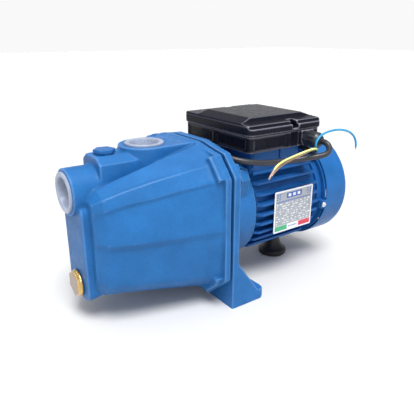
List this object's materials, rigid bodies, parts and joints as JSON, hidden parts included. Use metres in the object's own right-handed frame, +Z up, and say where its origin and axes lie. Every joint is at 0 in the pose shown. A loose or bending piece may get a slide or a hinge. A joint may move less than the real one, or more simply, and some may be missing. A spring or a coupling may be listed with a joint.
{
  "type": "shallow well jet pump",
  "caption": "Self-priming jet pump with a cast wet end, front suction port, top delivery port, bracket feet and a fan-cooled electric motor with a terminal box.",
  "frame": {"origin": "midway between the two foot bolt holes, on the ground", "axes": "+Z up, -X out of the suction port, +X towards the motor's fan end"},
  "size_m": [0.3528, 0.1874, 0.204],
  "materials": {
    "cast_blue": "semi-gloss enamel over rough casting",
    "motor_blue": "semi-gloss enamel",
    "cover_blue": "smooth gloss enamel",
    "plug_blue": "semi-gloss enamel",
    "cap_plastic": "translucent, satin",
    "brass": "machined",
    "box_black": "gloss",
    "black_rubber": "matte",
    "red_fibre": "matte",
    "cable_pvc": "satin",
    "core_blue": "satin",
    "core_green_yellow": "satin, two-colour",
    "core_brown": "satin",
    "plate_aluminium": "printed",
    "zinc_steel": "zinc plated",
    "bare_steel": "machined",
    "lamination": "dark steel sheet",
    "copper": "varnished winding",
    "black_plastic": "matte",
    "white_plastic": "satin",
    "carbon": "polished carbon",
    "impeller_brass": "cast"
  },
  "bodies": {
    "pump": {"body_bolt_1": "zinc_steel", "body_bolt_2": "zinc_steel", "body_bolt_3": "zinc_steel", "body_bolt_4": "zinc_steel", "body_gasket": "black_rubber", "box_gasket": "black_rubber", "capacitor": "white_plastic", "core_blue": "core_blue", "core_brown": "core_brown", "core_green_yellow": "core_green_yellow", "cover_screw_1": "zinc_steel", "cover_screw_2": "zinc_steel", "cover_screw_3": "zinc_steel", "diffuser": "black_plastic", "ejector_nozzle": "black_plastic", "fan_cover": "cover_blue", "front_bearing_outer": "bare_steel", "gland_body": "box_black", "gland_nut": "box_black", "motor_bracket": "cast_blue", "motor_housing": "motor_blue", "nameplate": "plate_aluminium", "nameplate_rivet_1": "zinc_steel", "nameplate_rivet_2": "zinc_steel", "power_cable": "cable_pvc", "pump_body": "cast_blue", "rear_bearing_outer": "bare_steel", "rear_end_shield": "motor_blue", "rubber_foot": "black_rubber", "rubber_foot_stud": "zinc_steel", "seal_seat": "carbon", "stator_core": "lamination", "terminal_block": "white_plastic", "terminal_box_base": "box_black", "tie_rod_1": "zinc_steel", "tie_rod_2": "zinc_steel", "tie_rod_3": "zinc_steel", "tie_rod_4": "zinc_steel", "venturi_tube": "black_plastic", "winding_front": "copper", "winding_rear": "copper"},
    "rotor": {"motor_shaft": "bare_steel", "rotor_core": "lamination", "impeller": "impeller_brass", "impeller_nut": "bare_steel", "seal_rotary": "carbon", "front_bearing_inner": "bare_steel", "rear_bearing_inner": "bare_steel", "cooling_fan": "black_plastic", "slinger": "black_rubber"},
    "filler_plug_body": {"filler_plug": "plug_blue", "filler_washer": "red_fibre"},
    "drain_plug_body": {"drain_plug": "brass", "drain_washer": "red_fibre"},
    "suction_cap_body": {"suction_cap": "cap_plastic"},
    "delivery_cap_body": {"delivery_cap": "cap_plastic"},
    "box_lid": {"terminal_box_lid": "box_black", "lid_screw_1": "zinc_steel", "lid_screw_2": "zinc_steel"}
  },
  "joints": [
    {"name": "shaft_spin", "type": "hinge", "parent": "pump", "child": "rotor", "pos_m": [0, 0, 0.096], "axis": [1, 0, 0], "continuous": true},
    {"name": "filler_plug_pull", "type": "slide", "parent": "pump", "child": "filler_plug_body", "axis": [0, 0, 1], "range_m": [0, 0.03]},
    {"name": "drain_plug_pull", "type": "slide", "parent": "pump", "child": "drain_plug_body", "axis": [-1, 0, 0], "range_m": [0, 0.03]},
    {"name": "suction_cap_pull", "type": "slide", "parent": "pump", "child": "suction_cap_body", "axis": [-1, 0, 0], "range_m": [0, 0.06]},
    {"name": "delivery_cap_pull", "type": "slide", "parent": "pump", "child": "delivery_cap_body", "axis": [0, 0, 1], "range_m": [0, 0.06]},
    {"name": "lid_lift", "type": "slide", "parent": "pump", "child": "box_lid", "axis": [0, 0, 1], "range_m": [0, 0.05]}
  ]
}
